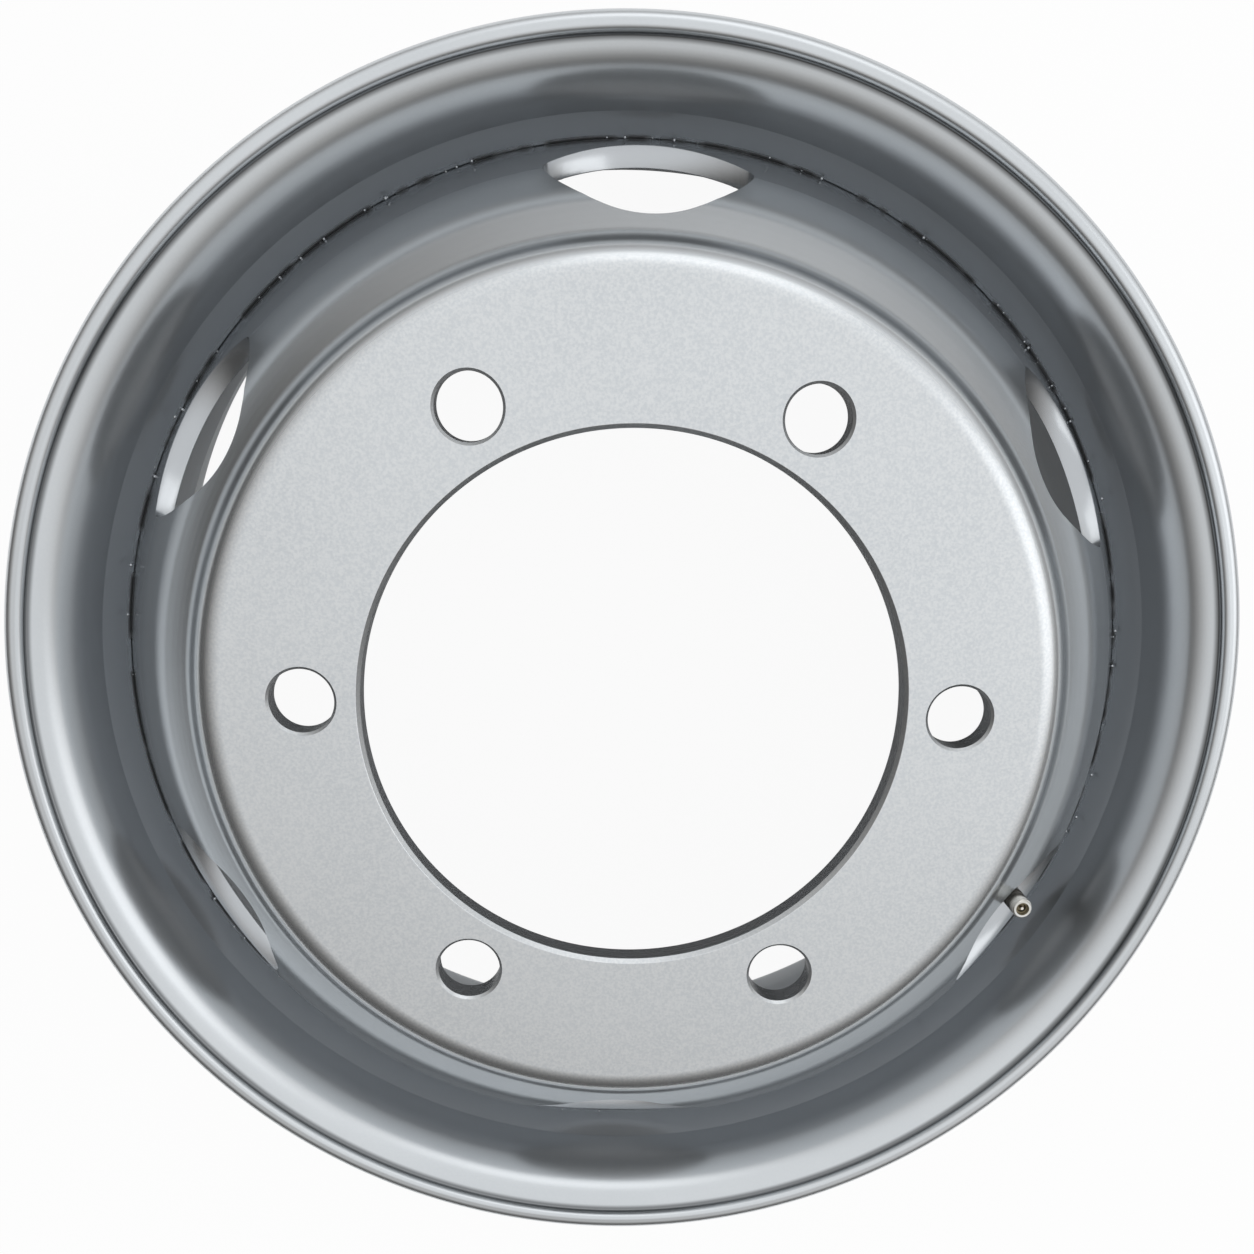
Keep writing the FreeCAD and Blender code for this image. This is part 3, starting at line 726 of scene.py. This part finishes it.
def speck_tree():
    """Small drops of weld spatter, painted over, strewn along the front joint."""
    board, start = new_tree("joint_specks", {
        "Count": "NodeSocketInt", "Radius": "NodeSocketFloat", "Height": "NodeSocketFloat",
        "Climb": "NodeSocketFloat", "Size": "NodeSocketFloat", "Seed": "NodeSocketInt",
        "Finish": "NodeSocketMaterial",
    })
    spots = board.node("GeometryNodeMeshLine", None, {"Count": start.other("Count"), "Offset": (0, 0, 0)})
    seed = start.other("Seed")
    turn = board.node("FunctionNodeRandomValue", None, {2: 0.0, 3: FULL_TURN, "Seed": seed}, output=1)
    climb = board.node("FunctionNodeRandomValue", None, {2: 0.0, 3: 1.0, "Seed": seed + 1}, output=1)
    girth = board.node("FunctionNodeRandomValue", None, {2: 0.25, 3: 1.0, "Seed": seed + 2}, output=1)
    radius = start.other("Radius")
    spot = board.node("ShaderNodeCombineXYZ", None, {
        "X": board.node("ShaderNodeMath", {"operation": "COSINE"}, {0: turn}) * radius,
        "Y": board.node("ShaderNodeMath", {"operation": "SINE"}, {0: turn}) * radius,
        "Z": start.other("Height") + climb * climb * start.other("Climb"),
    })
    strewn = board.node("GeometryNodeSetPosition", None, {"Geometry": spots, "Position": spot})
    drop = board.node("GeometryNodeMeshIcoSphere", None, {"Radius": start.other("Size"), "Subdivisions": 2})
    drops = board.node("GeometryNodeInstanceOnPoints", None, {
        "Points": strewn, "Instance": drop, "Scale": girth * girth,
    })
    smooth = board.node("GeometryNodeSetShadeSmooth", None, {"Geometry": drops})
    return end_tree(board, smooth, start.other("Finish"))


def make_specks(finish):
    specks = new_piece("joint_specks", bpy.data.meshes.new("joint_specks"))
    return apply_tree(
        specks, speck_tree(), count=SPECK_COUNT, radius=JOINT_RADIUS * MM, height=JOINT_HEIGHT * MM,
        climb=SPECK_CLIMB * MM, size=SPECK_SIZE * MM, seed=SPECK_SEED, finish=finish,
    )


def dress_cad(finishes):
    """The valve's CAD pieces carry their own finishes."""
    finish_of = {
        "valve_stem": "plated_brass", "valve_grommet": "black_rubber", "valve_washer": "zinc_steel",
        "valve_nut": "zinc_steel", "core_housing": "bare_brass", "core_gasket": "black_rubber",
        "core_pin": "bare_brass", "core_cup": "black_rubber", "core_spring": "zinc_steel",
    }
    for name, finish in finish_of.items():
        cad[name].data.materials.clear()
        cad[name].data.materials.append(finishes[finish])


def make_floor():
    """A pale floor that the camera and the metal see as white, with the wheel's shadow kept under it."""
    mesh = bpy.data.meshes.new("floor")
    signs = ((-1, -1), (1, -1), (1, 1), (-1, 1))
    corners = [(x * FLOOR_REACH, y * FLOOR_REACH, FLOOR_LEVEL) for x, y in signs]
    mesh.from_pydata(corners, [], [(0, 1, 2, 3)])
    floor = new_piece("floor", mesh)
    material, board = new_paint("pale_floor")
    shaded = board.node("ShaderNodeBsdfDiffuse", None, {"Color": (0.9, 0.9, 0.9, 1)})
    white = board.node("ShaderNodeEmission", None, {"Color": (1, 1, 1, 1), "Strength": 1.0})
    rays = board.node("ShaderNodeLightPath", output="Is Camera Ray")
    place = board.node("ShaderNodeTexCoord", output="Object")
    reach = board.node("ShaderNodeVectorMath", {"operation": "LENGTH"}, {0: place}, output="Value")
    beside = board.step(reach, *FLOOR_SHADOW_EDGE)
    seen = rays + rays.other("Is Glossy Ray") * beside + rays.other("Is Transmission Ray")
    surface = board.node("ShaderNodeMixShader", None, {0: seen * FLOOR_WHITE_SHARE, 1: shaded, 2: white})
    board.node("ShaderNodeOutputMaterial", None, {"Surface": surface})
    mesh.materials.append(material)


def make_world():
    """Soft studio surroundings: bright overhead and towards the far right, dark at the other horizon."""
    world = bpy.data.worlds.new("studio")
    bpy.context.scene.world = world
    world.use_nodes = True
    world.node_tree.nodes.clear()
    board = Board(world.node_tree)
    way = board.node("ShaderNodeTexCoord", output="Generated")
    dot = {"operation": "DOT_PRODUCT"}
    lean = board.node("ShaderNodeVectorMath", dot, {0: way, 1: SKY_LEAN}, output="Value")
    bright = board.step(lean, -0.05, 0.85)
    tint = board.mix(bright, (1.0, 0.95, 0.90, 1), (0.985, 0.993, 1.0, 1))
    climb = board.step(board.node("ShaderNodeSeparateXYZ", None, {0: way}).other("Z"), 0.0, 0.5)
    level = bright * (0.6 + climb * 0.4) * 0.98 + 0.08
    shade = board.node("ShaderNodeBackground", None, {"Color": tint, "Strength": level})
    board.node("ShaderNodeOutputWorld", None, {"Surface": shade})


def make_lamp(name, place, size, power):
    """A rectangular softbox turned towards the middle of the wheel."""
    lamp = bpy.data.lights.new(name, "AREA")
    lamp.shape = "RECTANGLE"
    lamp.size, lamp.size_y = size
    lamp.energy = power
    holder = new_piece(name, lamp)
    holder.location = place
    holder.rotation_euler = (Vector(LAMP_AIM) - Vector(place)).to_track_quat("-Z", "Y").to_euler()


def make_camera():
    camera = bpy.data.cameras.new("camera")
    camera.lens = CAMERA_LENS
    camera.sensor_width = CAMERA_SENSOR
    camera.shift_x, camera.shift_y = CAMERA_SHIFT
    camera.clip_start = 0.01
    holder = new_piece("camera", camera)
    holder.location = Vector(CAMERA_PLACE) * MM
    holder.rotation_euler = Euler([math.radians(angle) for angle in CAMERA_TURN])
    bpy.context.scene.camera = holder


finishes = {
    "silver_paint": silver_paint(), "plated_brass": plated_brass(), "bare_brass": bare_brass(),
    "zinc_steel": zinc_steel(), "black_rubber": black_rubber(),
}
punching = punching_tree()
rim = make_rim(finishes["silver_paint"], punching)
disc = make_disc(finishes["silver_paint"], punching)
weld = make_weld(finishes["silver_paint"])
thread = make_thread(finishes["plated_brass"])
specks = make_specks(finishes["silver_paint"])
dress_cad(finishes)
for piece, slot in ((rim, "silver_paint"), (disc, "silver_paint"), (weld, "silver_paint"),
                    (thread, "plated_brass"), (specks, "silver_paint")):
    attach(piece, "wheel")
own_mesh(cad["core_spring"])
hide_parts("rim")
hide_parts("disc")
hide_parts("disc_weld")

make_floor()
make_world()
make_lamp("window_softbox", (0.3, 1.5, 1.3), (1.2, 0.8), 1.9)
make_lamp("side_softbox", (1.3, 0.1, 1.25), (1.0, 1.0), 2.4)
make_camera()

bpy.context.scene.view_settings.view_transform = "Standard"
